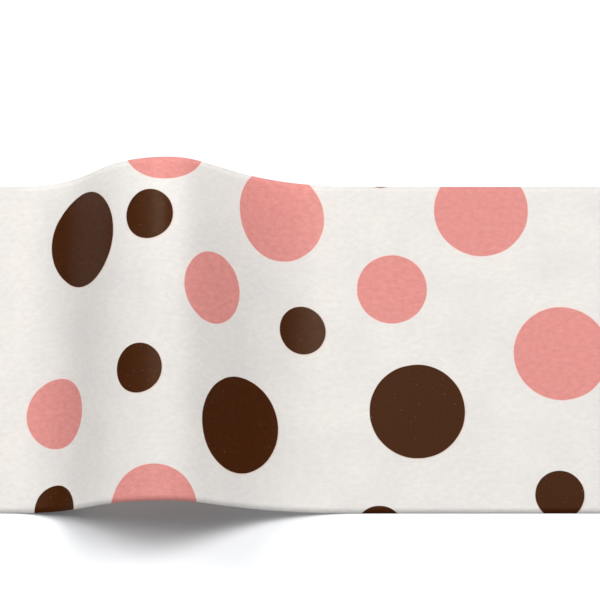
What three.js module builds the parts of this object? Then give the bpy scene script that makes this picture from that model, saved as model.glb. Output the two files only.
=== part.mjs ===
// A narrow roll of gift wrapping paper on a spiral-wound board core. The outermost turn is
// pulled out over the top of the roll, comes down to the table and lies there in a free
// stretch with one raised wave in it.
//
// Frame: millimetres, +Z up, +Y along the roll's axis, +X from the cut end to the roll.
// The origin is under the middle of the whole object, on the table.

import * as THREE from "three";

// ---------------------------------------------------------------------------------------
// Driving dimensions
// ---------------------------------------------------------------------------------------

const PAPER_WIDTH = 187.3; // the standard 7 3/8 inch counter roll
const SHEET = 0.5; // stands for the thickness of a single loose layer
const GAP = 0.3; // clearance between neighbouring solids

// Core: glued plies of board around a 1 1/2 inch bore
const BORE_RADIUS = 19.05;
const PLY = 0.5;
const PLY_NAMES = ["core_inner_ply", "core_middle_ply", "core_outer_ply"];

// Strip of tape that fastens the first turn of paper to the core, at the bottom of the core
const TAPE_THICKNESS = 0.3;
const TAPE_WIDTH = 25;
const TAPE_LENGTH = 175;

// Roll
const ROLL_RADIUS = 35;
const ROLL_SEGMENTS = 96;
const TAPE_SEGMENTS = 16;

// Loose stretch, from its cut end to the roll
const END_FLAT = 30; // flat on the table, between the cut end and the wave
const WAVE_HEIGHT = 53.8; // of the crest, in the middle of the width
const WAVE_TAPER = 0.15; // share by which the far edge stands higher and the near edge lower
const RISE_ANGLE = THREE.MathUtils.degToRad(51.6); // slope of the wave's rising side
const RISE_FOOT_RADIUS = 45;
const RISE_CREST_RADIUS = 48;
const FALL_ANGLE = THREE.MathUtils.degToRad(44); // slope of its falling side
const FALL_CREST_RADIUS = 19.5;
const FALL_FOOT_RADIUS = 97;
const ROLL_FLAT = 160; // flat on the table, between the wave and the roll
const DRAPE_RADIUS = 60; // bend where the paper lifts off the table
const LEAVING_ANGLE = THREE.MathUtils.degToRad(60); // slope at which it meets the roll
const STRETCH_STEPS = 4; // across the width, to carry the wave's taper
const BEND_STEPS = 12;

// ---------------------------------------------------------------------------------------
// Worked-out dimensions
// ---------------------------------------------------------------------------------------

const CORE_RADIUS = BORE_RADIUS + PLY_NAMES.length * (PLY + GAP) - GAP;
const TURN_INNER_RADIUS = ROLL_RADIUS - SHEET;
const WOUND_RADIUS = TURN_INNER_RADIUS - GAP;
const WOUND_INNER_RADIUS = CORE_RADIUS + GAP;
const TAPE_RADIUS = CORE_RADIUS + GAP + TAPE_THICKNESS;
const POCKET_RADIUS = TAPE_RADIUS + GAP;

/** Length of the straight part that completes a climb made of two equal-angled bends. */
function slantBetween(climb, angle, bendRadii) {
  return (climb - bendRadii * (1 - Math.cos(angle))) / Math.sin(angle);
}

/** Length on the table that two bends of an angle and the straight part between them cover. */
function runOf(angle, bendRadii, slant) {
  return bendRadii * Math.sin(angle) + slant * Math.cos(angle);
}

const RISE_RADII = RISE_FOOT_RADIUS + RISE_CREST_RADIUS;
const FALL_RADII = FALL_FOOT_RADIUS + FALL_CREST_RADIUS;
const RISE_SLANT = slantBetween(WAVE_HEIGHT, RISE_ANGLE, RISE_RADII);
const FALL_SLANT = slantBetween(WAVE_HEIGHT, FALL_ANGLE, FALL_RADII);

// The drape's bend and its straight part climb to where the paper touches the roll.
const TOUCH_ANGLE = LEAVING_ANGLE + Math.PI / 2;
const TOUCH_HEIGHT = ROLL_RADIUS + TURN_INNER_RADIUS * Math.sin(TOUCH_ANGLE);
const DRAPE_SLANT = slantBetween(TOUCH_HEIGHT, LEAVING_ANGLE, DRAPE_RADIUS);
const TOUCH_TO_AXIS = -TURN_INNER_RADIUS * Math.cos(TOUCH_ANGLE);

// Places along X, from the cut end to the roll's axis
const WAVE_RISE = runOf(RISE_ANGLE, RISE_RADII, RISE_SLANT);
const WAVE_FALL = runOf(FALL_ANGLE, FALL_RADII, FALL_SLANT);
const DRAPE_RUN = runOf(LEAVING_ANGLE, DRAPE_RADIUS, DRAPE_SLANT);
const TABLE_RUN = END_FLAT + WAVE_RISE + WAVE_FALL + ROLL_FLAT;
const LENGTH = TABLE_RUN + DRAPE_RUN + TOUCH_TO_AXIS + ROLL_RADIUS;
const CUT_END_X = -LENGTH / 2;
const RISE_FOOT_X = CUT_END_X + END_FLAT;
const CREST_X = RISE_FOOT_X + WAVE_RISE;
const FALL_FOOT_X = CREST_X + WAVE_FALL;
const LIFT_X = FALL_FOOT_X + ROLL_FLAT;
const AXIS_X = LIFT_X + DRAPE_RUN + TOUCH_TO_AXIS;

// ---------------------------------------------------------------------------------------
// Materials
// ---------------------------------------------------------------------------------------

const plyMaterial = new THREE.MeshStandardMaterial({ color: 0xb39a7c, roughness: 0.9 });
const tapeMaterial = new THREE.MeshStandardMaterial({ color: 0xd8d2b8, roughness: 0.4 });
const woundMaterial = new THREE.MeshStandardMaterial({ color: 0xe9e3dc, roughness: 0.75 });
const printMaterial = new THREE.MeshStandardMaterial({ color: 0xefebe6, roughness: 0.5 });

// ---------------------------------------------------------------------------------------
// Helpers
// ---------------------------------------------------------------------------------------

/** A mesh named after its sub-part. */
function part(name, geometry, material) {
  const mesh = new THREE.Mesh(geometry, material);
  mesh.name = name;
  return mesh;
}

/** Extrudes an outline drawn in X and Z along Y, centred on the roll's middle. */
function extrudeAcross(shape, width, options = {}) {
  const geometry = new THREE.ExtrudeGeometry(shape, {
    depth: width,
    bevelEnabled: false,
    curveSegments: ROLL_SEGMENTS,
    ...options,
  });
  geometry.rotateX(Math.PI / 2);
  geometry.translate(0, width / 2, 0);
  return geometry;
}

/** A curved strip around the roll's axis, from one angle clockwise to another. */
function strip(innerRadius, outerRadius, startAngle, endAngle) {
  const shape = new THREE.Shape();
  shape.absarc(0, 0, outerRadius, startAngle, endAngle, true);
  shape.absarc(0, 0, innerRadius, endAngle, startAngle, false);
  shape.closePath();
  return shape;
}

// ---------------------------------------------------------------------------------------
// Roll
// ---------------------------------------------------------------------------------------

/** One ply of the core: a plain tube, open at both ends. */
function corePly(index) {
  const inner = BORE_RADIUS + index * (PLY + GAP);
  const outer = inner + PLY;
  const end = PAPER_WIDTH / 2;
  const profile = [
    new THREE.Vector2(inner, -end),
    new THREE.Vector2(outer, -end),
    new THREE.Vector2(outer, end),
    new THREE.Vector2(inner, end),
    new THREE.Vector2(inner, -end),
  ];
  return part(PLY_NAMES[index], new THREE.LatheGeometry(profile, ROLL_SEGMENTS), plyMaterial);
}

/** Half the angle that the tape, with a given clearance beside it, takes around the core. */
function tapeHalfAngle(clearance) {
  return (TAPE_WIDTH / 2 + clearance) / TAPE_RADIUS;
}

/** The tape that holds the first turn, centred under the core. */
function startTape() {
  const half = tapeHalfAngle(0);
  const bottom = -Math.PI / 2;
  const shape = strip(TAPE_RADIUS - TAPE_THICKNESS, TAPE_RADIUS, bottom + half, bottom - half);
  const geometry = extrudeAcross(shape, TAPE_LENGTH, { curveSegments: TAPE_SEGMENTS });
  return part("start_tape", geometry, tapeMaterial);
}

/** All turns but the outermost, as one ring with a shallow pocket over the tape. */
function woundPaper() {
  const half = tapeHalfAngle(GAP);
  const bottom = -Math.PI / 2;
  const ring = new THREE.Shape();
  ring.absarc(0, 0, WOUND_RADIUS, 0, 2 * Math.PI, false);
  const bore = new THREE.Path();
  bore.absarc(0, 0, WOUND_INNER_RADIUS, bottom - half, bottom + half, true);
  bore.absarc(0, 0, POCKET_RADIUS, bottom + half, bottom - half, true);
  bore.closePath();
  ring.holes.push(bore);
  return part("wound_paper", extrudeAcross(ring, PAPER_WIDTH), woundMaterial);
}

// ---------------------------------------------------------------------------------------
// Loose paper
// ---------------------------------------------------------------------------------------

/** The outermost turn, from where the paper leaves the roll round to just under itself. */
function outerTurn() {
  // The lap ends where the paper above it has drawn one sheet and one gap away.
  const lap = Math.acos(TURN_INNER_RADIUS / (ROLL_RADIUS + GAP));
  const start = TOUCH_ANGLE - GAP / TURN_INNER_RADIUS;
  const end = TOUCH_ANGLE + lap - 2 * Math.PI;
  const shape = strip(TURN_INNER_RADIUS, ROLL_RADIUS, start, end);
  return part("outer_turn", extrudeAcross(shape, PAPER_WIDTH), printMaterial);
}

/** A bend of the paper: an arc around a centre, turning the shorter way between two angles. */
function bend(centreX, centreZ, radius, start, end) {
  return new THREE.EllipseCurve(centreX, centreZ, radius, radius, start, end, end < start);
}

/** The lower face of the loose stretch, as its bends from the cut end to the roll. */
function stretchBends() {
  const up = Math.PI / 2;
  const riseCrestZ = WAVE_HEIGHT - RISE_CREST_RADIUS;
  const fallCrestZ = WAVE_HEIGHT - FALL_CREST_RADIUS;
  return [
    bend(RISE_FOOT_X, RISE_FOOT_RADIUS, RISE_FOOT_RADIUS, -up, -up + RISE_ANGLE),
    bend(CREST_X, riseCrestZ, RISE_CREST_RADIUS, up + RISE_ANGLE, up),
    bend(CREST_X, fallCrestZ, FALL_CREST_RADIUS, up, up - FALL_ANGLE),
    bend(FALL_FOOT_X, FALL_FOOT_RADIUS, FALL_FOOT_RADIUS, -up - FALL_ANGLE, -up),
    bend(LIFT_X, DRAPE_RADIUS, DRAPE_RADIUS, -up, -up + LEAVING_ANGLE),
  ];
}

/** The stretch's section: its lower face, and the same face moved up by one sheet. */
function stretchOutline() {
  const station = (point, tangent) => ({
    point,
    normal: new THREE.Vector2(-tangent.y, tangent.x),
  });
  const onBend = (curve) =>
    Array.from({ length: BEND_STEPS + 1 }, (_, k) =>
      station(curve.getPoint(k / BEND_STEPS), curve.getTangent(k / BEND_STEPS)),
    );
  const level = new THREE.Vector2(1, 0);
  const leaving = new THREE.Vector2(Math.cos(LEAVING_ANGLE), Math.sin(LEAVING_ANGLE));
  const stations = [
    station(new THREE.Vector2(CUT_END_X, 0), level),
    ...stretchBends().flatMap(onBend),
    station(new THREE.Vector2(AXIS_X - TOUCH_TO_AXIS, TOUCH_HEIGHT), leaving),
  ];
  const lower = stations.map(({ point }) => point);
  const upper = stations.map(({ point, normal }) => point.clone().addScaledVector(normal, SHEET));
  return new THREE.Shape([...lower, ...upper.reverse()]);
}

/** How far the taper raises a point: most at the crest's edges, none on the flats. */
function taperRise(x, y, z) {
  const inWave = x < FALL_FOOT_X && z > SHEET;
  return inWave ? (WAVE_TAPER * (z - SHEET) * y) / (PAPER_WIDTH / 2) : 0;
}

/** The free stretch: cut end, raised wave, flat, and the drape up to the roll. */
function freeStretch() {
  const geometry = extrudeAcross(stretchOutline(), PAPER_WIDTH, { steps: STRETCH_STEPS });
  const position = geometry.attributes.position;
  for (let i = 0; i < position.count; i += 1) {
    const z = position.getZ(i);
    position.setZ(i, z + taperRise(position.getX(i), position.getY(i), z));
  }
  geometry.computeVertexNormals();
  return part("free_stretch", geometry, printMaterial);
}

// ---------------------------------------------------------------------------------------
// Assembly
// ---------------------------------------------------------------------------------------

const roll = new THREE.Group();
roll.position.set(AXIS_X, 0, ROLL_RADIUS);
roll.add(...PLY_NAMES.map((_, index) => corePly(index)), startTape(), woundPaper(), outerTurn());

const wrappingPaperRoll = new THREE.Group();
wrappingPaperRoll.add(roll, freeStretch());

export default wrappingPaperRoll;
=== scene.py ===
"""Looks of the wrapping paper roll: printed strip, wound turns, board core and studio.

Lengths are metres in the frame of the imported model: +Z up, +Y along the roll's axis and +X
from the paper's cut end to the roll.
"""

from __future__ import annotations

import logging  # noqa: E402
import math  # noqa: E402
import random  # noqa: E402
from collections.abc import Callable, Sequence  # noqa: E402
from dataclasses import dataclass, field  # noqa: E402
from enum import Enum  # noqa: E402

import bmesh  # noqa: E402
import bpy  # noqa: E402
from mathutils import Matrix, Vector, noise  # noqa: E402


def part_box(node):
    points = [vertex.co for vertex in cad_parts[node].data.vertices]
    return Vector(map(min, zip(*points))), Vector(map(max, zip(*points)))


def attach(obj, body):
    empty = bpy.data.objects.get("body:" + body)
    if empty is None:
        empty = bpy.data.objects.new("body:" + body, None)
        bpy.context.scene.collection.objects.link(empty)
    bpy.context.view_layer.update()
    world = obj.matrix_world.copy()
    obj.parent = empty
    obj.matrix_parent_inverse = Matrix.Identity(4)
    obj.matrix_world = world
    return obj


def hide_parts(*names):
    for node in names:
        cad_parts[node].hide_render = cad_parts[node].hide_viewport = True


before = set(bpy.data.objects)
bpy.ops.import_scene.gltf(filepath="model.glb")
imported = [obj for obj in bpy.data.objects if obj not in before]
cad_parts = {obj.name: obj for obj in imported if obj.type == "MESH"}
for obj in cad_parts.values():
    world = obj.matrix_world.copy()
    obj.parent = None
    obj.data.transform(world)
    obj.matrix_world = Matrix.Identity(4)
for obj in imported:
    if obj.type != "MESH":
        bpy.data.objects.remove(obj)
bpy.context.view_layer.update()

MM = 0.001
LOG = logging.getLogger("wrapping_paper_roll")
STRIP_UV = "strip"

Colour = tuple[float, float, float]
Line = list[tuple[float, float]]
Socket = bpy.types.NodeSocket


# ---- Small helpers ---------------------------------------------------------------------


def srgb(red: int, green: int, blue: int) -> Colour:
    """A display colour as linear light.

    Args:
        red: red from 0 to 255.
        green: green from 0 to 255.
        blue: blue from 0 to 255.

    Returns:
        The three channels from 0 to 1.
    """

    def linear(value: int) -> float:
        """One channel by the sRGB curve."""
        share = value / 255
        return share / 12.92 if share <= 0.04045 else ((share + 0.055) / 1.055) ** 2.4

    return linear(red), linear(green), linear(blue)


def smooth_step(value: float, low: float, high: float) -> float:
    """0 below low, 1 above high, and a smooth ramp between them."""
    share = min(max((value - low) / (high - low), 0.0), 1.0)
    return share * share * (3 - 2 * share)


def arc(
    centre: tuple[float, float], radius: float, start: float, end: float, count: int = 60
) -> Line:
    """Points on an arc in X and Z.

    Args:
        centre: its centre.
        radius: its radius.
        start: angle of the first point, in radians from +X towards +Z.
        end: angle of the last point.
        count: number of steps.

    Returns:
        The points, both ends among them.
    """
    angles = [start + (end - start) * k / count for k in range(count + 1)]
    return [(centre[0] + radius * math.cos(a), centre[1] + radius * math.sin(a)) for a in angles]


# ---- Shape of the strip ----------------------------------------------------------------


@dataclass(frozen=True)
class Station:
    """A point on the strip's section, with its outward normal and its place along the strip."""

    x: float
    z: float
    normal_x: float
    normal_z: float
    along: float


@dataclass
class PaperPath:
    """The strip's section in X and Z: cut end, raised wave, flat, drape and outermost turn.

    The driving lengths are those of the CAD model; its ends come from the frame.
    """

    end_flat: float = 30 * MM
    wave_height: float = 53.8 * MM
    wave_taper: float = 0.15
    rise_angle: float = math.radians(51.6)
    rise_foot_radius: float = 45 * MM
    rise_crest_radius: float = 48 * MM
    fall_angle: float = math.radians(44)
    fall_crest_radius: float = 19.5 * MM
    fall_foot_radius: float = 97 * MM
    roll_flat: float = 160 * MM
    drape_radius: float = 60 * MM
    leaving_angle: float = math.radians(60)
    lap_angle: float = math.radians(9)
    table_lift: float = 0.2 * MM
    roll_gap: float = 0.1 * MM
    step: float = 2.2 * MM
    softening: int = 12

    def __post_init__(self) -> None:
        """Takes the cut end, the width and the roll's size from the frame."""
        stretch_low, stretch_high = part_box("free_stretch")
        turn_low, turn_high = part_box("outer_turn")
        self.cut_end_x = stretch_low.x
        self.width = stretch_high.y - stretch_low.y
        self.axis_x = (turn_low.x + turn_high.x) / 2
        self.roll_radius = (turn_high.x - turn_low.x) / 2
        rise_radii = self.rise_foot_radius + self.rise_crest_radius
        fall_radii = self.fall_foot_radius + self.fall_crest_radius
        self.foot_x = self.cut_end_x + self.end_flat
        self.crest_x = self.foot_x + self._run(self.wave_height, self.rise_angle, rise_radii)
        fall = self._run(self.wave_height, self.fall_angle, fall_radii)
        self.second_foot_x = self.crest_x + fall
        self.lift_x = self.second_foot_x + self.roll_flat

    @staticmethod
    def _run(climb: float, angle: float, bend_radii: float) -> float:
        """Length on the table of a climb made of two bends and a straight part between them."""
        slant = (climb - bend_radii * (1 - math.cos(angle))) / math.sin(angle)
        return bend_radii * math.sin(angle) + slant * math.cos(angle)

    @property
    def sheet_radius(self) -> float:
        """Radius of the printed face on the roll."""
        return self.roll_radius - self.roll_gap

    def section(self) -> Line:
        """The section's line, with its corners at the ends of straight parts only.

        Returns:
            Points in X and Z of the printed face, from the cut end to the lap on the roll.
        """
        up = math.pi / 2
        lift = self.table_lift
        crest_z = lift + self.wave_height

        def valley(x: float, radius: float, start: float, sweep: float) -> Line:
            """A bend whose lowest point is on the table."""
            return arc((x, lift + radius), radius, start, start + sweep)

        def crest(x: float, radius: float, start: float, sweep: float) -> Line:
            """A bend whose highest point is the wave's crest."""
            return arc((x, crest_z - radius), radius, start, start + sweep)

        rise, fall, touch = self.rise_angle, self.fall_angle, up + self.leaving_angle
        points = [(self.cut_end_x, lift)]
        points += valley(self.foot_x, self.rise_foot_radius, -up, rise)
        points += crest(self.crest_x, self.rise_crest_radius, up + rise, -rise)
        points += crest(self.crest_x, self.fall_crest_radius, up, -fall)
        points += valley(self.second_foot_x, self.fall_foot_radius, -up - fall, fall)
        points += valley(self.lift_x, self.drape_radius, -up, self.leaving_angle)
        around = self.lap_angle - 2 * math.pi
        axis = (self.axis_x, self.roll_radius)
        points += arc(axis, self.sheet_radius, touch, touch + around)
        return points

    def stations(self) -> list[Station]:
        """Evenly spaced stations along the section, its bends eased into each other.

        Returns:
            Stations with normals on the printed side and lengths from the cut end.
        """
        points = self.section()
        lengths = [0.0]
        for (x0, z0), (x1, z1) in zip(points, points[1:], strict=False):
            lengths.append(lengths[-1] + math.hypot(x1 - x0, z1 - z0))
        count = round(lengths[-1] / self.step)
        places = [lengths[-1] * i / count for i in range(count + 1)]
        line = []
        k = 0
        for along in places:
            while k < len(lengths) - 2 and lengths[k + 1] < along:
                k += 1
            share = (along - lengths[k]) / (lengths[k + 1] - lengths[k])
            (x0, z0), (x1, z1) = points[k], points[k + 1]
            line.append(Vector((x0 + (x1 - x0) * share, z0 + (z1 - z0) * share)))
        for _ in range(self.softening):
            line = self._ease(line)
        found = []
        for i, (along, point) in enumerate(zip(places, line, strict=True)):
            slope = (line[min(i + 1, count)] - line[max(i - 1, 0)]).normalized()
            found.append(Station(point.x, point.y, -slope.y, slope.x, along))
        return found

    def _ease(self, line: list[Vector]) -> list[Vector]:
        """Moves each point before the drape halfway to the middle of its neighbours.

        Args:
            line: points of the section, in X and Z.

        Returns:
            The moved points.
        """
        eased = list(line)
        for i in range(1, len(line) - 1):
            if line[i + 1].x >= self.lift_x:
                break
            eased[i] = (line[i - 1] + 2 * line[i] + line[i + 1]) / 4
        return eased

    def taper(self, x: float, y: float, z: float) -> float:
        """How far the wave's taper raises a point: up at the far edge, down at the near edge."""
        return self.wave_taper * z * y / (self.width / 2) if x < self.second_foot_x else 0.0


# ---- The print -------------------------------------------------------------------------


class Ink(Enum):
    """The two inks of the print."""

    PINK = "Pink"
    BROWN = "Brown"


class DotRadius(Enum):
    """The three sizes of dot."""

    LARGE = 26.6 * MM
    MEDIUM = 19.7 * MM
    SMALL = 13.6 * MM


@dataclass(frozen=True)
class Dot:
    """One dot of the repeat: millimetres along from the cut end and across from the near edge."""

    ink: Ink
    size: DotRadius
    along: float
    across: float


REPEAT = 457.2 * MM

DOTS = (
    Dot(Ink.BROWN, DotRadius.SMALL, 6.3, 72.5),
    Dot(Ink.BROWN, DotRadius.SMALL, 55.6, 0.9),
    Dot(Ink.PINK, DotRadius.MEDIUM, 56, 54.5),
    Dot(Ink.BROWN, DotRadius.LARGE, 75.8, 150.3),
    Dot(Ink.BROWN, DotRadius.SMALL, 120, 72.1),
    Dot(Ink.BROWN, DotRadius.SMALL, 125.5, 156.2),
    Dot(Ink.PINK, DotRadius.LARGE, 129, -6.8),
    Dot(Ink.PINK, DotRadius.LARGE, 134.6, 201.8),
    Dot(Ink.PINK, DotRadius.MEDIUM, 165.7, 118.6),
    Dot(Ink.BROWN, DotRadius.LARGE, 185.1, 45.2),
    Dot(Ink.PINK, DotRadius.LARGE, 212.1, 167.5),
    Dot(Ink.BROWN, DotRadius.SMALL, 226, 102.4),
    Dot(Ink.BROWN, DotRadius.SMALL, 269.3, -9.3),
    Dot(Ink.BROWN, DotRadius.SMALL, 270.9, 200.3),
    Dot(Ink.PINK, DotRadius.MEDIUM, 277.1, 127.4),
    Dot(Ink.BROWN, DotRadius.LARGE, 290.7, 57.4),
    Dot(Ink.PINK, DotRadius.LARGE, 327.9, 173.3),
    Dot(Ink.BROWN, DotRadius.SMALL, 369.2, 10.3),
    Dot(Ink.PINK, DotRadius.LARGE, 371.7, 90.4),
    Dot(Ink.BROWN, DotRadius.SMALL, 412, 178),
    Dot(Ink.PINK, DotRadius.LARGE, 428, 34),
    Dot(Ink.BROWN, DotRadius.LARGE, 434, 128),
    Dot(Ink.PINK, DotRadius.MEDIUM, 451, 187),
)


# ---- Shader graphs ---------------------------------------------------------------------


class Graph:
    """Adds shader nodes to one node tree and joins them."""

    def __init__(self, tree: bpy.types.NodeTree) -> None:
        """Starts on a tree that holds no nodes of its own."""
        self.tree = tree

    def node(self, kind: str, **settings: object) -> bpy.types.Node:
        """Adds a node and sets its properties.

        Args:
            kind: Blender's name for the node type.
            settings: properties to set on the node.

        Returns:
            The new node.
        """
        made = self.tree.nodes.new(kind)
        for name, value in settings.items():
            setattr(made, name, value)
        return made

    def feed(self, socket: Socket, value: object) -> None:
        """Links a socket into an input, or sets the input's own value.

        Args:
            socket: the input.
            value: a socket to link, or a plain value; a colour may come without its alpha.
        """
        if isinstance(value, bpy.types.NodeSocket):
            self.tree.links.new(value, socket)
        else:
            if isinstance(value, tuple) and len(value) == 3 and socket.type == "RGBA":
                value = (*value, 1.0)
            socket.default_value = value

    def math(self, operation: str, *values: object, clamp: bool = False) -> Socket:
        """Adds one Math node.

        Args:
            operation: Blender's name for what it does.
            values: up to three values or sockets.
            clamp: whether the result is kept from 0 to 1.

        Returns:
            The result.
        """
        made = self.node("ShaderNodeMath", operation=operation, use_clamp=clamp)
        for socket, value in zip(made.inputs, values, strict=False):
            self.feed(socket, value)
        return made.outputs[0]

    def vector(self, operation: str, *values: object) -> bpy.types.Node:
        """Adds one Vector Math node.

        Args:
            operation: Blender's name for what it does.
            values: up to three vectors or sockets.

        Returns:
            The node, whose result is a vector or a value.
        """
        made = self.node("ShaderNodeVectorMath", operation=operation)
        for socket, value in zip(made.inputs, values, strict=False):
            self.feed(socket, value)
        return made

    def scaled(self, value: object, factor: float) -> Socket:
        """A value times a plain number."""
        return self.math("MULTIPLY", value, factor)

    def mix(self, factor: object, first: object, second: object, blend: str = "MIX") -> Socket:
        """Mixes two colours.

        Args:
            factor: share of the second colour.
            first: the colour at 0.
            second: the colour at 1.
            blend: Blender's name for how they mix.

        Returns:
            The mixed colour.
        """
        made = self.node("ShaderNodeMix", data_type="RGBA", blend_type=blend)
        self.feed(made.inputs[0], factor)
        self.feed(made.inputs[6], first)
        self.feed(made.inputs[7], second)
        return made.outputs[2]

    def noise(self, vector: object, scale: float, detail: float = 2.0) -> Socket:
        """Smooth noise.

        Args:
            vector: where it is read.
            scale: number of features to the metre.
            detail: how many finer layers are added.

        Returns:
            The noise, from 0 to 1.
        """
        made = self.node("ShaderNodeTexNoise")
        self.feed(made.inputs["Vector"], vector)
        made.inputs["Scale"].default_value = scale
        made.inputs["Detail"].default_value = detail
        return made.outputs["Fac"]

    def band(self, value: object, low: float, high: float) -> Socket:
        """A value's place between two limits.

        Args:
            value: the value.
            low: where the result is 0; it may be the higher limit.
            high: where the result is 1.

        Returns:
            The place, kept from 0 to 1.
        """
        made = self.node("ShaderNodeMapRange", clamp=True)
        self.feed(made.inputs["Value"], value)
        made.inputs["From Min"].default_value = low
        made.inputs["From Max"].default_value = high
        return made.outputs["Result"]

    def group(self, tree: bpy.types.NodeTree, **values: object) -> bpy.types.Node:
        """Places a node group.

        Args:
            tree: the group.
            values: what its inputs get, by name.

        Returns:
            The group's node.
        """
        made = self.node("ShaderNodeGroup", node_tree=tree)
        for name, value in values.items():
            self.feed(made.inputs[name], value)
        return made


def new_group(name: str, inputs: Sequence[tuple[str, str]], outputs: Sequence[str]) -> Graph:
    """A node group with named sockets.

    Args:
        name: the group's name.
        inputs: name and socket type of each input.
        outputs: name of each output, all plain values.

    Returns:
        A graph on the group's tree, which holds its input and output nodes.
    """
    tree = bpy.data.node_groups.new(name, "ShaderNodeTree")
    for label, kind in inputs:
        tree.interface.new_socket(name=label, in_out="INPUT", socket_type=kind)
    for label in outputs:
        tree.interface.new_socket(name=label, in_out="OUTPUT", socket_type="NodeSocketFloat")
    graph = Graph(tree)
    graph.node("NodeGroupInput", name="in")
    graph.node("NodeGroupOutput", name="out")
    return graph


@dataclass(frozen=True)
class Press:
    """How well the dots are printed: lengths from a dot's edge, negative inside the dot."""

    waver: float = 0.5 * MM
    waver_scale: float = 90
    blur: float = 0.12 * MM
    rim: tuple[float, float] = (-1.0 * MM, -0.1 * MM)
    halo: tuple[float, float] = (0.6 * MM, 0.2 * MM)
    brown_slip: tuple[float, float] = (0.3 * MM, -0.3 * MM)


def dot_print_group(dots: Sequence[Dot], repeat: float) -> bpy.types.NodeTree:
    """Masks of the dot print.

    Args:
        dots: the dots of one repeat.
        repeat: the repeat's length along the strip.

    Returns:
        A group from strip coordinates to a mask of each ink, of its dense rim and of the thin
        halo where its colours don't quite meet.
    """
    press = Press()
    masks = [f"{ink.value}{part}" for ink in Ink for part in ("", " rim", " halo")]
    graph = new_group("dot_print", [("Vector", "NodeSocketVector")], masks)
    place = graph.tree.nodes["in"].outputs["Vector"]
    waver = graph.node("ShaderNodeTexNoise")
    graph.feed(waver.inputs["Vector"], place)
    waver.inputs["Scale"].default_value = press.waver_scale
    shift = graph.vector("SUBTRACT", waver.outputs["Color"], (0.5, 0.5, 0.5)).outputs[0]
    small = graph.vector("MULTIPLY", shift, (press.waver, press.waver, 0.0)).outputs[0]
    wavy = graph.vector("ADD", place, small).outputs[0]

    def outside(ink: Ink, slip: tuple[float, float]) -> Socket:
        """Distance outside the nearest dot of an ink.

        Args:
            ink: the ink.
            slip: how far its dots are shifted, along and across.

        Returns:
            The distance, negative inside a dot.
        """
        best: Socket | None = None
        for dot in (d for d in dots if d.ink is ink):
            centre = (dot.along * MM + slip[0], dot.across * MM + slip[1], 0.0)
            away = graph.vector("SUBTRACT", wavy, centre).outputs[0]
            wrapped = graph.vector(
                "WRAP", away, (repeat / 2, 1.0, 1.0), (-repeat / 2, -1.0, -1.0)
            ).outputs[0]
            length = graph.vector("LENGTH", wrapped).outputs["Value"]
            gap = graph.math("SUBTRACT", length, dot.size.value)
            best = gap if best is None else graph.math("MINIMUM", best, gap)
        assert best is not None
        return best

    out = graph.tree.nodes["out"]
    for ink, slip in ((Ink.PINK, (0.0, 0.0)), (Ink.BROWN, press.brown_slip)):
        edge = outside(ink, (0.0, 0.0))
        shifted = outside(ink, slip)
        graph.feed(out.inputs[ink.value], graph.band(edge, press.blur, -press.blur))
        graph.feed(out.inputs[ink.value + " rim"], graph.band(edge, *press.rim))
        graph.feed(out.inputs[ink.value + " halo"], graph.band(shifted, *press.halo))
    return graph.tree


def paper_fibre_group() -> bpy.types.NodeTree:
    """Fibre of thin paper.

    Returns:
        A group from strip coordinates to Cloud, Grain, Mottle and Speck, each 0 to 1, and to
        Height, in shares of the relief's depth.
    """
    graph = new_group(
        "paper_fibre",
        [("Vector", "NodeSocketVector")],
        ["Cloud", "Grain", "Mottle", "Speck", "Height"],
    )
    place = graph.tree.nodes["in"].outputs["Vector"]
    laid = graph.vector("MULTIPLY", place, (0.6, 1.0, 1.0)).outputs[0]
    cloud = graph.noise(place, scale=45, detail=3.0)
    grain = graph.noise(laid, scale=1400, detail=3.0)
    mottle = graph.noise(laid, scale=420, detail=4.0)
    dust = graph.noise(place, scale=900, detail=0.0)
    out = graph.tree.nodes["out"]
    graph.feed(out.inputs["Cloud"], graph.band(cloud, 0.3, 0.7))
    graph.feed(out.inputs["Grain"], graph.band(grain, 0.25, 0.75))
    graph.feed(out.inputs["Mottle"], graph.band(mottle, 0.3, 0.7))
    graph.feed(out.inputs["Speck"], graph.band(dust, 0.8, 0.86))
    graph.feed(out.inputs["Height"], graph.math("MULTIPLY_ADD", mottle, 0.8, grain))
    return graph.tree


def board_fibre_group() -> bpy.types.NodeTree:
    """Fibre of rolled core board.

    Returns:
        A group from a position to Fleck and Fibre, each 0 to 1, and to Height, in shares of
        the relief's depth.
    """
    graph = new_group(
        "board_fibre", [("Vector", "NodeSocketVector")], ["Fleck", "Fibre", "Height"]
    )
    place = graph.tree.nodes["in"].outputs["Vector"]
    laid = graph.vector("MULTIPLY", place, (1.0, 0.3, 1.0)).outputs[0]
    fleck = graph.noise(laid, scale=900, detail=1.0)
    fibre = graph.noise(laid, scale=420, detail=4.0)
    out = graph.tree.nodes["out"]
    graph.feed(out.inputs["Fleck"], graph.band(fleck, 0.64, 0.74))
    graph.feed(out.inputs["Fibre"], graph.band(fibre, 0.3, 0.7))
    graph.feed(out.inputs["Height"], graph.math("ADD", fleck, fibre))
    return graph.tree


# ---- Finishes --------------------------------------------------------------------------


@dataclass
class FinishKit:
    """The shader groups that the finishes share."""

    dots: bpy.types.NodeTree = field(default_factory=lambda: dot_print_group(DOTS, REPEAT))
    fibre: bpy.types.NodeTree = field(default_factory=paper_fibre_group)
    board: bpy.types.NodeTree = field(default_factory=board_fibre_group)


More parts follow.
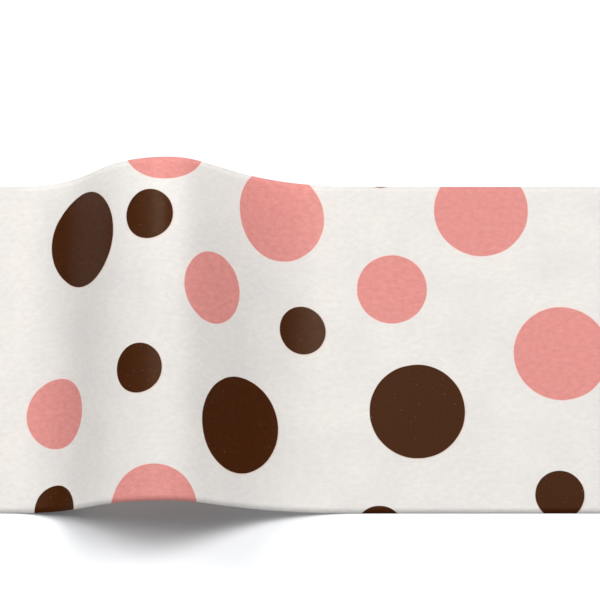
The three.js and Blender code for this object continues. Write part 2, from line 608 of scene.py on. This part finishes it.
def new_material(name: str) -> tuple[bpy.types.Material, Graph, bpy.types.Node]:
    """An empty material with its Principled shader.

    Args:
        name: the material's name.

    Returns:
        The material, a graph on its tree and the shader.
    """
    material = bpy.data.materials.new(name)
    material.use_nodes = True
    graph = Graph(material.node_tree)
    return material, graph, material.node_tree.nodes["Principled BSDF"]


@dataclass(frozen=True)
class Surface:
    """How a finish reflects light: roughness, its spread, shine, and relief of some depth."""

    roughness: float
    spread: float
    shine: float
    relief: float
    depth: float

    def dress(
        self, graph: Graph, shader: bpy.types.Node, colour: Socket, patches: Socket, height: Socket
    ) -> None:
        """Feeds a shader.

        Args:
            graph: the material's graph.
            shader: its Principled shader.
            colour: the base colour.
            patches: where the roughness is higher, from 0 to 1.
            height: the relief's height, in shares of its depth.
        """
        graph.feed(shader.inputs["Base Color"], colour)
        rough = graph.math("MULTIPLY_ADD", patches, self.spread, self.roughness)
        graph.feed(shader.inputs["Roughness"], rough)
        shader.inputs["Specular IOR Level"].default_value = self.shine
        bump = graph.node("ShaderNodeBump")
        bump.inputs["Strength"].default_value = self.relief
        bump.inputs["Distance"].default_value = self.depth
        graph.feed(bump.inputs["Height"], height)
        graph.feed(shader.inputs["Normal"], bump.outputs[0])


def let_light_through(graph: Graph, shader: bpy.types.Node, colour: Socket, share: float) -> None:
    """Mixes a translucent layer into a material and joins it to the output.

    Args:
        graph: the material's graph.
        shader: its Principled shader.
        colour: the colour that the passing light takes.
        share: how much of the light passes.
    """
    behind = graph.node("ShaderNodeBsdfTranslucent")
    graph.feed(behind.inputs["Color"], colour)
    blend = graph.node("ShaderNodeMixShader")
    blend.inputs[0].default_value = share
    graph.feed(blend.inputs[1], shader.outputs[0])
    graph.feed(blend.inputs[2], behind.outputs[0])
    graph.feed(graph.tree.nodes["Material Output"].inputs["Surface"], blend.outputs[0])


@dataclass(frozen=True)
class InkLook:
    """An ink on the paper, and how strongly its rim, its halo and its bare specks show."""

    ink: Ink
    colour: Colour
    dense: Colour
    halo: Colour
    rim_share: float
    halo_share: float
    bare_share: float


PINK_LOOK = InkLook(
    ink=Ink.PINK,
    colour=srgb(239, 171, 165),
    dense=srgb(226, 152, 146),
    halo=srgb(250, 224, 216),
    rim_share=0.35,
    halo_share=0.7,
    bare_share=0.35,
)
BROWN_LOOK = InkLook(
    ink=Ink.BROWN,
    colour=srgb(82, 42, 14),
    dense=srgb(70, 33, 10),
    halo=srgb(240, 190, 160),
    rim_share=0.5,
    halo_share=0.28,
    bare_share=0.12,
)


@dataclass(frozen=True)
class PrintedFace:
    """Satin printed face of the paper. Its inks are in the order in which they are printed."""

    name: str = "printed_face"
    paper: Colour = srgb(244, 241, 237)
    cloudy: Colour = srgb(240, 238, 236)
    mottled: Colour = srgb(229, 224, 218)
    inks: tuple[InkLook, ...] = (PINK_LOOK, BROWN_LOOK)
    mottling: float = 0.4
    surface: Surface = Surface(
        roughness=0.3, spread=0.06, shine=0.2, relief=0.25, depth=0.05 * MM
    )
    glare: Colour = (1.0, 0.8, 0.6)
    between_fibres: Colour = (0.66, 0.61, 0.57)
    formation: float = 0.5
    show_through: float = 0.5

    def build(self, kit: FinishKit) -> bpy.types.Material:
        """Makes the material.

        Args:
            kit: the shared shader groups.

        Returns:
            The material.
        """
        material, graph, shader = new_material(self.name)
        place = graph.node("ShaderNodeUVMap", uv_map=STRIP_UV).outputs[0]
        dots = graph.group(kit.dots, Vector=place).outputs
        fibre = graph.group(kit.fibre, Vector=place).outputs
        paper = graph.mix(fibre["Cloud"], self.paper, self.cloudy)
        patchy = graph.scaled(fibre["Mottle"], 0.5)
        grainy = graph.math("MULTIPLY_ADD", fibre["Grain"], 0.5, patchy)
        paper = graph.mix(graph.scaled(grainy, self.mottling), paper, self.mottled)
        colour = paper
        for look in self.inks:
            name = look.ink.value
            rim = graph.scaled(dots[name + " rim"], look.rim_share)
            halo = graph.scaled(dots[name + " halo"], look.halo_share)
            bare = graph.scaled(fibre["Speck"], look.bare_share)
            printed = graph.mix(grainy, look.colour, look.dense)
            printed = graph.mix(rim, printed, look.dense)
            colour = graph.mix(halo, colour, look.halo)
            colour = graph.mix(dots[name], colour, graph.mix(bare, printed, paper))
        self.surface.dress(graph, shader, colour, fibre["Mottle"], fibre["Height"])
        shader.inputs["Specular Tint"].default_value = (*self.glare, 1.0)
        thin = graph.scaled(grainy, self.formation)
        passing = graph.mix(thin, colour, self.between_fibres, "MULTIPLY")
        let_light_through(graph, shader, passing, self.show_through)
        return material


@dataclass(frozen=True)
class PlainBack:
    """Unprinted back of the paper, with the dots showing through faintly."""

    name: str = "plain_back"
    paper: Colour = srgb(240, 238, 234)
    cloudy: Colour = srgb(230, 228, 224)
    pink_shadow: Colour = srgb(238, 214, 208)
    brown_shadow: Colour = srgb(206, 196, 188)
    surface: Surface = Surface(
        roughness=0.72, spread=0.1, shine=0.3, relief=0.3, depth=0.05 * MM
    )
    show_through: float = 0.5

    def build(self, kit: FinishKit) -> bpy.types.Material:
        """Makes the material.

        Args:
            kit: the shared shader groups.

        Returns:
            The material.
        """
        material, graph, shader = new_material(self.name)
        place = graph.node("ShaderNodeUVMap", uv_map=STRIP_UV).outputs[0]
        dots = graph.group(kit.dots, Vector=place).outputs
        fibre = graph.group(kit.fibre, Vector=place).outputs
        colour = graph.mix(fibre["Cloud"], self.paper, self.cloudy)
        colour = graph.mix(dots["Pink"], colour, self.pink_shadow)
        colour = graph.mix(dots["Brown"], colour, self.brown_shadow)
        self.surface.dress(graph, shader, colour, fibre["Mottle"], fibre["Height"])
        let_light_through(graph, shader, colour, self.show_through)
        return material


@dataclass(frozen=True)
class WoundEdges:
    """The roll's end: the cut edges of its layers, some with ink from dots that were cut."""

    name: str = "wound_edges"
    pale: Colour = srgb(226, 222, 215)
    shade: Colour = srgb(186, 179, 170)
    pink: Colour = srgb(226, 168, 160)
    brown: Colour = srgb(120, 92, 74)
    stretch: float = 0.012
    wear: float = 0.35
    ink_share: float = 0.7
    surface: Surface = Surface(
        roughness=0.78, spread=0.1, shine=0.25, relief=0.6, depth=0.1 * MM
    )

    def build(self, kit: FinishKit) -> bpy.types.Material:
        """Makes the material.

        Args:
            kit: the shared shader groups; not used.

        Returns:
            The material.
        """
        material, graph, shader = new_material(self.name)
        place = graph.node("ShaderNodeUVMap", uv_map=STRIP_UV).outputs[0]
        arcs = graph.vector("MULTIPLY", place, (self.stretch, 1.0, 1.0)).outputs[0]
        rings = graph.noise(arcs, scale=4200, detail=1.0)
        wide = graph.noise(arcs, scale=700, detail=2.0)
        colour = graph.mix(graph.band(rings, 0.3, 0.7), self.pale, self.shade)
        worn = graph.scaled(graph.band(wide, 0.45, 0.7), self.wear)
        colour = graph.mix(worn, colour, self.shade)
        inked = graph.vector("ADD", arcs, (0.3, 0.7, 0.0)).outputs[0]
        pink_arcs = graph.band(graph.noise(inked, scale=2600, detail=0.0), 0.66, 0.72)
        brown_arcs = graph.band(graph.noise(inked, scale=3100, detail=0.0), 0.7, 0.75)
        colour = graph.mix(graph.scaled(pink_arcs, self.ink_share), colour, self.pink)
        colour = graph.mix(graph.scaled(brown_arcs, self.ink_share), colour, self.brown)
        self.surface.dress(graph, shader, colour, rings, rings)
        return material


@dataclass(frozen=True)
class CoreBoard:
    """Grey-brown board of the core."""

    name: str
    board: Colour
    dark: Colour
    fleck: Colour = srgb(214, 200, 178)
    fleck_share: float = 0.4
    surface: Surface = Surface(
        roughness=0.84, spread=0.08, shine=0.25, relief=0.5, depth=0.12 * MM
    )

    def build(self, kit: FinishKit) -> bpy.types.Material:
        """Makes the material.

        Args:
            kit: the shared shader groups.

        Returns:
            The material.
        """
        material, graph, shader = new_material(self.name)
        place = graph.node("ShaderNodeTexCoord").outputs["Object"]
        fibre = graph.group(kit.board, Vector=place).outputs
        colour = graph.mix(fibre["Fibre"], self.board, self.dark)
        flecks = graph.scaled(fibre["Fleck"], self.fleck_share)
        colour = graph.mix(flecks, colour, self.fleck)
        self.surface.dress(graph, shader, colour, fibre["Fibre"], fibre["Height"])
        return material


@dataclass(frozen=True)
class TapeFilm:
    """Yellowed film of the start tape."""

    name: str = "tape_film"
    film: Colour = srgb(214, 206, 178)
    dry: Colour = srgb(196, 184, 150)
    roughness: float = 0.3
    spread: float = 0.2

    def build(self) -> bpy.types.Material:
        """Makes the material.

        Returns:
            The material.
        """
        material, graph, shader = new_material(self.name)
        place = graph.node("ShaderNodeTexCoord").outputs["Object"]
        patches = graph.noise(place, scale=160, detail=3.0)
        colour = graph.mix(graph.band(patches, 0.35, 0.7), self.film, self.dry)
        graph.feed(shader.inputs["Base Color"], colour)
        rough = graph.math("MULTIPLY_ADD", patches, self.spread, self.roughness)
        graph.feed(shader.inputs["Roughness"], rough)
        return material


@dataclass(frozen=True)
class StudioFloor:
    """Plain white table."""

    name: str = "studio_floor"
    white: Colour = (0.75, 0.75, 0.755)
    shade: Colour = (0.735, 0.735, 0.742)
    roughness: float = 0.8
    shine: float = 0.1

    def build(self) -> bpy.types.Material:
        """Makes the material.

        Returns:
            The material.
        """
        material, graph, shader = new_material(self.name)
        place = graph.node("ShaderNodeTexCoord").outputs["Object"]
        patches = graph.noise(place, scale=3, detail=2.0)
        graph.feed(shader.inputs["Base Color"], graph.mix(patches, self.white, self.shade))
        shader.inputs["Roughness"].default_value = self.roughness
        shader.inputs["Specular IOR Level"].default_value = self.shine
        return material


# ---- Pieces ----------------------------------------------------------------------------


def new_piece(
    name: str, corners: Sequence[Sequence[float]], faces: Sequence[Sequence[int]]
) -> bpy.types.Object:
    """A mesh object in the scene, shaded smooth.

    Args:
        name: the piece's name.
        corners: its vertices.
        faces: its faces, as vertex numbers.

    Returns:
        The object.
    """
    mesh = bpy.data.meshes.new(name)
    mesh.from_pydata([tuple(c) for c in corners], [], [tuple(f) for f in faces])
    mesh.update()
    mesh.shade_smooth()
    piece = bpy.data.objects.new(name, mesh)
    bpy.context.scene.collection.objects.link(piece)
    return piece


def write_uv(
    mesh: bpy.types.Mesh, name: str, place: Callable[[int], tuple[float, float]]
) -> None:
    """Gives a mesh a UV map.

    Args:
        mesh: the mesh.
        name: the map's name.
        place: the coordinates of a vertex by its number.
    """
    layer = mesh.uv_layers.new(name=name)
    for loop in mesh.loops:
        layer.data[loop.index].uv = place(loop.vertex_index)


@dataclass(frozen=True)
class SheetNoise:
    """Smooth noise over the strip, with a number of features to the metre each way."""

    along: float
    across: float
    seed: float

    def at(self, along: float, across: float) -> float:
        """The noise at a place on the strip, from about -1 to 1."""
        return noise.noise(Vector((along * self.along, across * self.across, self.seed)))


@dataclass
class PrintedStrip:
    """The loose paper: free stretch, drape and outermost turn, in one sheet."""

    path: PaperPath
    thickness: float = 0.09 * MM
    rows: int = 56
    ripple: float = 0.3 * MM
    edge_rise: float = 0.1 * MM
    edge_from: float = 0.38
    raised_heights: tuple[float, float] = (1 * MM, 8 * MM)
    swell: SheetNoise = SheetNoise(along=16, across=11, seed=3.7)
    wrinkle: SheetNoise = SheetNoise(along=45, across=22, seed=9.1)
    raised_swell: float = 1.6
    raised_wrinkle: float = 0.5

    def build(self, kit: FinishKit) -> bpy.types.Object:
        """Makes the strip and puts it in the frame.

        Args:
            kit: the shared shader groups.

        Returns:
            The strip.
        """
        stations = self.path.stations()
        across = [k / self.rows for k in range(self.rows + 1)]
        corners = [self._corner(s, share) for s in stations for share in across]
        wide = self.rows + 1
        faces = []
        for i in range(len(stations) - 1):
            for j in range(self.rows):
                a = i * wide + j
                faces.append((a, a + wide, a + wide + 1, a + 1))
        piece = new_piece("printed_strip", corners, faces)

        def place(index: int) -> tuple[float, float]:
            """Metres along from the cut end and across from the near edge."""
            return stations[index // wide].along, across[index % wide] * self.path.width

        write_uv(piece.data, STRIP_UV, place)
        piece.data.materials.append(PrintedFace().build(kit))
        piece.data.materials.append(PlainBack().build(kit))
        thick = piece.modifiers.new("thickness", "SOLIDIFY")
        thick.thickness = self.thickness
        thick.offset = -1
        thick.material_offset = 1
        thick.material_offset_rim = 1
        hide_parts("free_stretch", "outer_turn")
        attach(piece, "web")
        return piece

    def _corner(self, station: Station, share: float) -> tuple[float, float, float]:
        """One vertex: the section's point, moved by the taper and the paper's unevenness.

        Args:
            station: where it is along the strip.
            share: where it is across the strip, from 0 at the near edge to 1.

        Returns:
            Its place.
        """
        y = (share - 0.5) * self.path.width
        off = self._unevenness(station, y)
        x = station.x + station.normal_x * off
        z = station.z + self.path.taper(station.x, y, station.z) + station.normal_z * off
        return x, y, z

    def _unevenness(self, station: Station, y: float) -> float:
        """How far the limp paper stands off its section, never downwards where it lies flat.

        Args:
            station: where it is along the strip.
            y: where it is across the strip, from its middle.

        Returns:
            The distance towards the printed side. It is nothing on the roll.
        """
        path = self.path
        start = path.axis_x - 2 * path.roll_radius
        free = 1 - smooth_step(station.x, start, path.axis_x - path.roll_radius)
        raised = smooth_step(station.z, *self.raised_heights)
        soft = self.swell.at(station.along, y)
        fine = self.wrinkle.at(station.along, y)
        edge = smooth_step(abs(y), path.width * self.edge_from, path.width * 0.5)
        flat = max(soft, 0.0) * self.ripple + edge * max(fine, 0.0) * self.edge_rise
        wavy = (soft * self.raised_swell + fine * self.raised_wrinkle) * self.ripple
        return free * (flat * (1 - raised) + wavy * raised)


@dataclass
class WoundTurns:
    """All the inner turns: a ring whose ends show the layers standing slightly uneven."""

    path: PaperPath
    inner_radius: float = 21.45 * MM
    layer: float = 0.34 * MM
    uneven: float = 0.16 * MM
    clearance: float = 0.2 * MM
    segments: int = 144
    crease: float = math.radians(40)
    seed: int = 11

    def build(self, kit: FinishKit) -> bpy.types.Object:
        """Makes the ring and puts it in the frame.

        Args:
            kit: the shared shader groups.

        Returns:
            The ring.
        """
        path = self.path
        profile = self._profile()
        corners = []
        for radius, y in profile:
            for s in range(self.segments):
                angle = 2 * math.pi * s / self.segments
                x = path.axis_x + radius * math.cos(angle)
                z = path.roll_radius + radius * math.sin(angle)
                corners.append((x, y, z))
        rings = len(profile)
        faces = []
        for r in range(rings):
            for s in range(self.segments):
                a, b = r * self.segments + s, r * self.segments + (s + 1) % self.segments
                c = ((r + 1) % rings) * self.segments
                faces.append((a, b, c + (s + 1) % self.segments, c + s))
        piece = new_piece("wound_turns", corners, faces)
        self._flip_outwards(piece)

        def place(index: int) -> tuple[float, float]:
            """Arc length around the roll, and radius."""
            ring, s = divmod(index, self.segments)
            radius, _ = profile[ring]
            return 2 * math.pi * s / self.segments * radius, radius

        write_uv(piece.data, STRIP_UV, place)
        piece.data.materials.append(WoundEdges().build(kit))
        sharp = piece.modifiers.new("layers", "EDGE_SPLIT")
        sharp.split_angle = self.crease
        LOG.info("wound turns: %d corners in the ring's outline", rings)
        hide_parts("wound_paper")
        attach(piece, "roll")
        return piece

    def _profile(self) -> Line:
        """The ring's outline, up one end and back down the other.

        Returns:
            Radius and place along the axis of each corner, two to a layer at each end.
        """
        outer = self.path.sheet_radius - self.clearance
        half = self.path.width / 2 - self.uneven
        count = round((outer - self.inner_radius) / self.layer)
        step = (outer - self.inner_radius) / count
        chance = random.Random(self.seed)
        offsets = {
            side: [chance.uniform(-1, 1) * self.uneven for _ in range(count)] for side in (-1, 1)
        }
        profile: Line = []
        for side, order in ((-1, range(count)), (1, reversed(range(count)))):
            for k in order:
                low, high = self.inner_radius + k * step, self.inner_radius + (k + 1) * step
                y = side * (half + offsets[side][k])
                profile += [(r, y) for r in ((low, high) if side < 0 else (high, low))]
        return profile

    @staticmethod
    def _flip_outwards(piece: bpy.types.Object) -> None:
        """Makes every face point out.

        Args:
            piece: the closed ring.
        """
        shape = bmesh.new()
        shape.from_mesh(piece.data)
        bmesh.ops.recalc_face_normals(shape, faces=shape.faces)
        shape.to_mesh(piece.data)
        shape.free()


@dataclass
class SpiralPly:
    """One ply of the core: a ribbon of board wound in a helix, with an open butt seam."""

    path: PaperPath
    node: str
    inner_radius: float
    thickness: float
    phase: float
    finish: CoreBoard
    lead: float = 64 * MM
    seam: float = 0.5 * MM
    segments: int = 96
    across: int = 8

    def build(self, kit: FinishKit) -> bpy.types.Object:
        """Makes the ply and puts it in the frame.

        Args:
            kit: the shared shader groups.

        Returns:
            The ply.
        """
        half = self.path.width / 2
        turns = math.ceil(self.path.width / self.lead) + 2
        total = turns * self.segments
        corners = []
        for i in range(total + 1):
            angle = 2 * math.pi * i / self.segments + self.phase
            start = -half - self.lead + self.lead * i / self.segments
            for j in range(self.across + 1):
                y = start + (self.lead - self.seam) * j / self.across
                x = self.path.axis_x + self.inner_radius * math.cos(angle)
                z = self.path.roll_radius + self.inner_radius * math.sin(angle)
                corners.append((x, y, z))
        wide = self.across + 1
        faces = []
        for i in range(total):
            for j in range(self.across):
                a = i * wide + j
                faces.append((a, a + 1, a + wide + 1, a + wide))
        piece = new_piece(self.node + "_wound", corners, faces)
        self._trim(piece, half)
        thick = piece.modifiers.new("board", "SOLIDIFY")
        thick.thickness = self.thickness
        thick.offset = 1
        piece.data.materials.append(self.finish.build(kit))
        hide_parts(self.node)
        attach(piece, "roll")
        LOG.info("core ply %s at radius %.2f mm", self.node, self.inner_radius / MM)
        return piece

    def _trim(self, piece: bpy.types.Object, half: float) -> None:
        """Cuts the ribbon off square at both ends of the core, with its faces outwards.

        Args:
            piece: the ribbon.
            half: half the core's length.
        """
        shape = bmesh.new()
        shape.from_mesh(piece.data)
        for side in (-1, 1):
            bmesh.ops.bisect_plane(
                shape,
                geom=[*shape.verts, *shape.edges, *shape.faces],
                plane_co=(0, side * half, 0),
                plane_no=(0, side, 0),
                clear_outer=True,
            )
        axis = Vector((self.path.axis_x, 0, self.path.roll_radius))
        for face in shape.faces:
            away = face.calc_center_median() - axis
            away.y = 0
            if face.normal.dot(away) < 0:
                face.normal_flip()
        shape.to_mesh(piece.data)
        shape.free()


@dataclass
class StartTape:
    """The hidden strip of tape under the first turn, kept as the frame has it."""

    node: str = "start_tape"

    def dress(self) -> None:
        """Gives the tape its finish."""
        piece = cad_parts[self.node]
        film = TapeFilm().build()
        for slot in piece.material_slots:
            slot.material = film
        LOG.info("start tape dressed")


# ---- Studio ----------------------------------------------------------------------------


@dataclass(frozen=True)
class Softbox:
    """A square studio light that faces the middle of the view."""

    name: str
    offset: Vector
    watts: float
    size: float = 1.12

    def build(self, aim: Vector) -> None:
        """Makes the light.

        Args:
            aim: the point that it faces, which its offset is measured from.
        """
        lamp = bpy.data.lights.new(self.name, "AREA")
        lamp.shape = "SQUARE"
        lamp.size = self.size
        lamp.energy = self.watts
        holder = bpy.data.objects.new(self.name, lamp)
        holder.location = aim + self.offset
        holder.rotation_mode = "QUATERNION"
        holder.rotation_quaternion = (-self.offset).to_track_quat("-Z", "Y")
        bpy.context.scene.collection.objects.link(holder)


@dataclass
class Studio:
    """White table, soft lights and the camera above the wave."""

    path: PaperPath
    tilt: float = math.radians(13.28)
    distance: float = 1.561
    lens: float = 166.4
    beyond_crest: float = 70.8 * MM
    behind_middle: float = 27.6 * MM
    sensor: float = 36
    far_limit: float = 20
    table_reach: float = 4.0
    air_colour: Colour = (0.78, 0.89, 1.0)
    air_strength: float = 0.18

    @property
    def aim(self) -> Vector:
        """The point on the table in the middle of the view."""
        return Vector((self.path.crest_x + self.beyond_crest, self.behind_middle, 0))

    def build(self) -> None:
        """Makes the table, the lights, the surroundings and the camera."""
        self._table()
        self._camera()
        for light in (
            Softbox("upper_left_light", Vector((-0.9, 0.69, 2.99)), watts=48),
            Softbox("back_left_light", Vector((-1.9, 1.48, 2.11)), watts=47),
            Softbox("back_right_light", Vector((1.31, 1.31, 2.61)), watts=88),
        ):
            light.build(self.aim)
        world = bpy.data.worlds.new("studio_air")
        world.use_nodes = True
        air = world.node_tree.nodes["Background"]
        air.inputs["Color"].default_value = (*self.air_colour, 1.0)
        air.inputs["Strength"].default_value = self.air_strength
        bpy.context.scene.world = world
        bpy.context.scene.view_settings.view_transform = "Standard"
        LOG.info("studio built")

    def _table(self) -> None:
        """A wide plain table top."""
        reach = self.table_reach
        corners = [(-reach, -reach, 0), (reach, -reach, 0), (reach, reach, 0), (-reach, reach, 0)]
        table = new_piece("studio_table", corners, [(0, 1, 2, 3)])
        table.data.materials.append(StudioFloor().build())

    def _camera(self) -> None:
        """The camera, looking down across the strip."""
        camera = bpy.data.cameras.new("view")
        camera.lens = self.lens
        camera.sensor_width = self.sensor
        camera.clip_end = self.far_limit
        holder = bpy.data.objects.new("view", camera)
        back = Vector((0, -math.sin(self.tilt), math.cos(self.tilt)))
        holder.location = self.aim + back * self.distance
        holder.rotation_mode = "QUATERNION"
        holder.rotation_quaternion = (-back).to_track_quat("-Z", "Y")
        bpy.context.scene.collection.objects.link(holder)
        bpy.context.scene.camera = holder


# ---- Assembly --------------------------------------------------------------------------


def core_plies(path: PaperPath) -> list[SpiralPly]:
    """The three plies, glued face to face, each wound a part of a turn after the last.

    Args:
        path: the strip's section, which places the roll.

    Returns:
        The plies from the bore outwards.
    """
    low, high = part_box("core_inner_ply")
    cad_thickness = 0.5 * MM
    bore = (high.x - low.x) / 2 - cad_thickness
    thickness = 0.74 * MM
    spacing = 0.79 * MM
    phase_step = 2.1
    liner = CoreBoard("liner_board", srgb(186, 164, 134), srgb(164, 140, 110))
    body = CoreBoard("body_board", srgb(166, 150, 130), srgb(142, 126, 106))
    names = ("core_inner_ply", "core_middle_ply", "core_outer_ply")
    finishes = (liner, body, liner)
    return [
        SpiralPly(path, name, bore + k * spacing, thickness, k * phase_step, finish)
        for k, (name, finish) in enumerate(zip(names, finishes, strict=True))
    ]


def main() -> None:
    """Builds the object and its studio."""
    logging.basicConfig(level=logging.INFO, format="%(name)s: %(message)s")
    path = PaperPath()
    kit = FinishKit()
    Studio(path).build()
    PrintedStrip(path).build(kit)
    WoundTurns(path).build(kit)
    for ply in core_plies(path):
        ply.build(kit)
    StartTape().dress()


if __name__ == "__main__":
    main()
